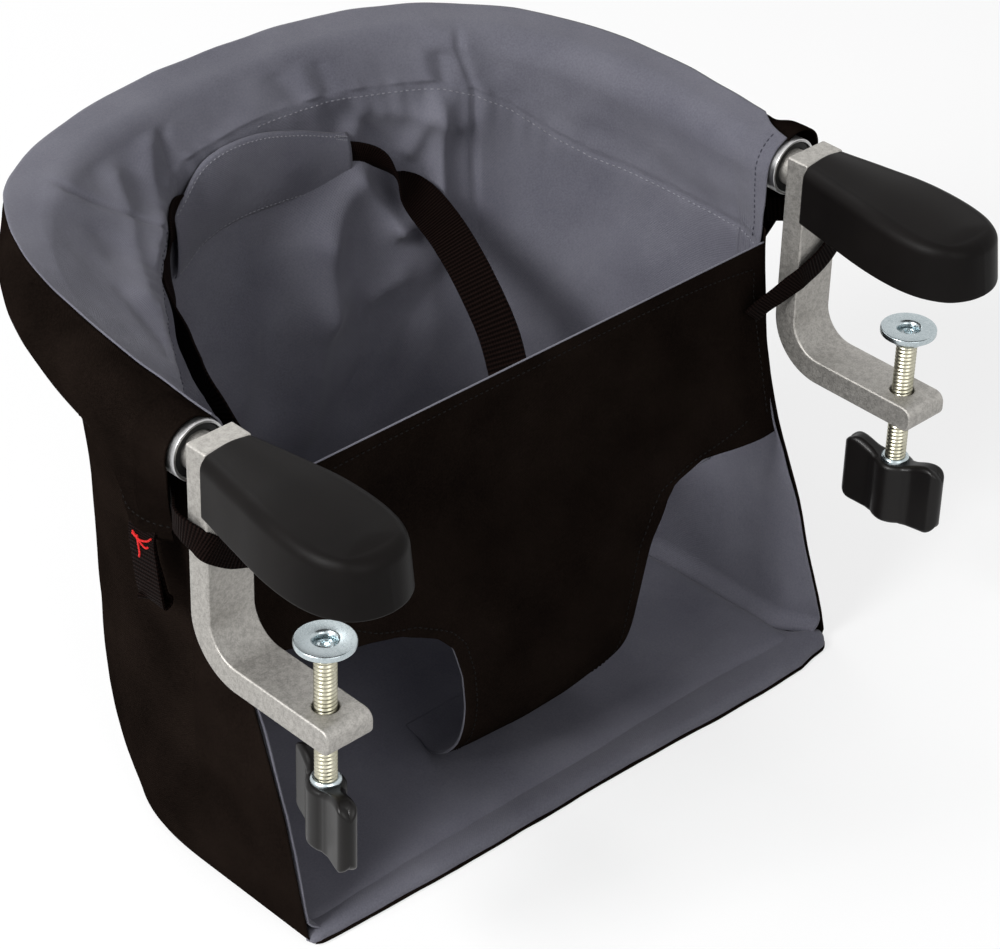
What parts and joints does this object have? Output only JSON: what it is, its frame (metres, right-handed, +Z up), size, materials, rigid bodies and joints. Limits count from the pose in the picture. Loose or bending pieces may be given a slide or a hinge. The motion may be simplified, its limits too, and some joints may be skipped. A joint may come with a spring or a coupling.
{
  "type": "clamp-on table chair",
  "caption": "Fabric baby seat on a bent tube frame, held to a table edge by two swivelling screw clamps.",
  "frame": {"origin": "middle of the bounding box on the floor plane, under the seat base", "axes": "+X to the right seen from the front, +Y to the back of the seat, +Z up; the clamps reach out along -Y"},
  "size_m": [0.413, 0.3368, 0.2832],
  "materials": {
    "cast_aluminium": "satin cast, lightly speckled",
    "cover_rubber": "soft sheen",
    "black_plastic": "moulded",
    "knob_plastic": "satin gloss",
    "zinc_steel": "bright zinc plate",
    "tube_steel": "bright drawn tube",
    "lining_fabric": "plain woven polyester",
    "outer_fabric": "plain woven polyester",
    "webbing": "ribbed webbing",
    "board_plastic": "plain sheet"
  },
  "bodies": {
    "root": {"left_tube_bush": "black_plastic", "left_stop_rivet": "zinc_steel", "left_clamp_strap": "webbing", "left_waist_strap": "webbing", "left_side_panel": "outer_fabric", "left_rim_sleeve": "lining_fabric", "right_tube_bush": "black_plastic", "right_stop_rivet": "zinc_steel", "right_clamp_strap": "webbing", "right_waist_strap": "webbing", "right_side_panel": "outer_fabric", "right_rim_sleeve": "lining_fabric", "frame_tube": "tube_steel", "back_rim_sleeve": "lining_fabric", "back_panel": "outer_fabric", "seat_base": "lining_fabric", "seat_board": "board_plastic", "front_panel": "outer_fabric", "front_binding": "outer_fabric", "harness_pocket": "lining_fabric", "buckle_female": "black_plastic", "storage_tab": "webbing"},
    "left_clamp": {"left_clamp_arm": "cast_aluminium", "left_arm_cover": "cover_rubber"},
    "left_pad": {"left_pressure_pad": "zinc_steel"},
    "left_screw": {"left_clamp_screw": "zinc_steel", "left_pad_retainer": "zinc_steel", "left_knob_insert": "zinc_steel", "left_wing_knob": "knob_plastic"},
    "right_clamp": {"right_clamp_arm": "cast_aluminium", "right_arm_cover": "cover_rubber"},
    "right_pad": {"right_pressure_pad": "zinc_steel"},
    "right_screw": {"right_clamp_screw": "zinc_steel", "right_pad_retainer": "zinc_steel", "right_knob_insert": "zinc_steel", "right_wing_knob": "knob_plastic"},
    "buckle_plug": {"buckle_male": "black_plastic"}
  },
  "joints": [
    {"name": "left_clamp_swivel", "type": "hinge", "parent": "root", "child": "left_clamp", "pos_m": [-0.1805, -0.05387, 0.2475], "axis": [0, -1, 0], "range_deg": [0, 90], "deforming": ["left_clamp_strap"]},
    {"name": "left_screw_travel", "type": "slide", "parent": "left_clamp", "child": "left_pad", "axis": [0, 0, 1], "range_m": [-0.018, 0.018]},
    {"name": "left_screw_turn", "type": "hinge", "parent": "left_pad", "child": "left_screw", "pos_m": [-0.1805, -0.12757, 0.1475], "axis": [0, 0, 1], "range_deg": [-3240, 3240]},
    {"name": "right_clamp_swivel", "type": "hinge", "parent": "root", "child": "right_clamp", "pos_m": [0.1805, -0.05387, 0.2475], "axis": [0, 1, 0], "range_deg": [0, 90], "deforming": ["right_clamp_strap"]},
    {"name": "right_screw_travel", "type": "slide", "parent": "right_clamp", "child": "right_pad", "axis": [0, 0, 1], "range_m": [-0.018, 0.018]},
    {"name": "right_screw_turn", "type": "hinge", "parent": "right_pad", "child": "right_screw", "pos_m": [0.1805, -0.12757, 0.1475], "axis": [0, 0, 1], "range_deg": [-3240, 3240]},
    {"name": "buckle_release", "type": "slide", "parent": "root", "child": "buckle_plug", "axis": [1, 0, 0], "range_m": [0, 0.024], "deforming": ["right_waist_strap"]}
  ],
  "couplings": [
    {"joint": "left_screw_travel", "follows": "left_screw_turn", "m_per_rad": 0.0003183},
    {"joint": "right_screw_travel", "follows": "right_screw_turn", "m_per_rad": 0.0003183}
  ]
}
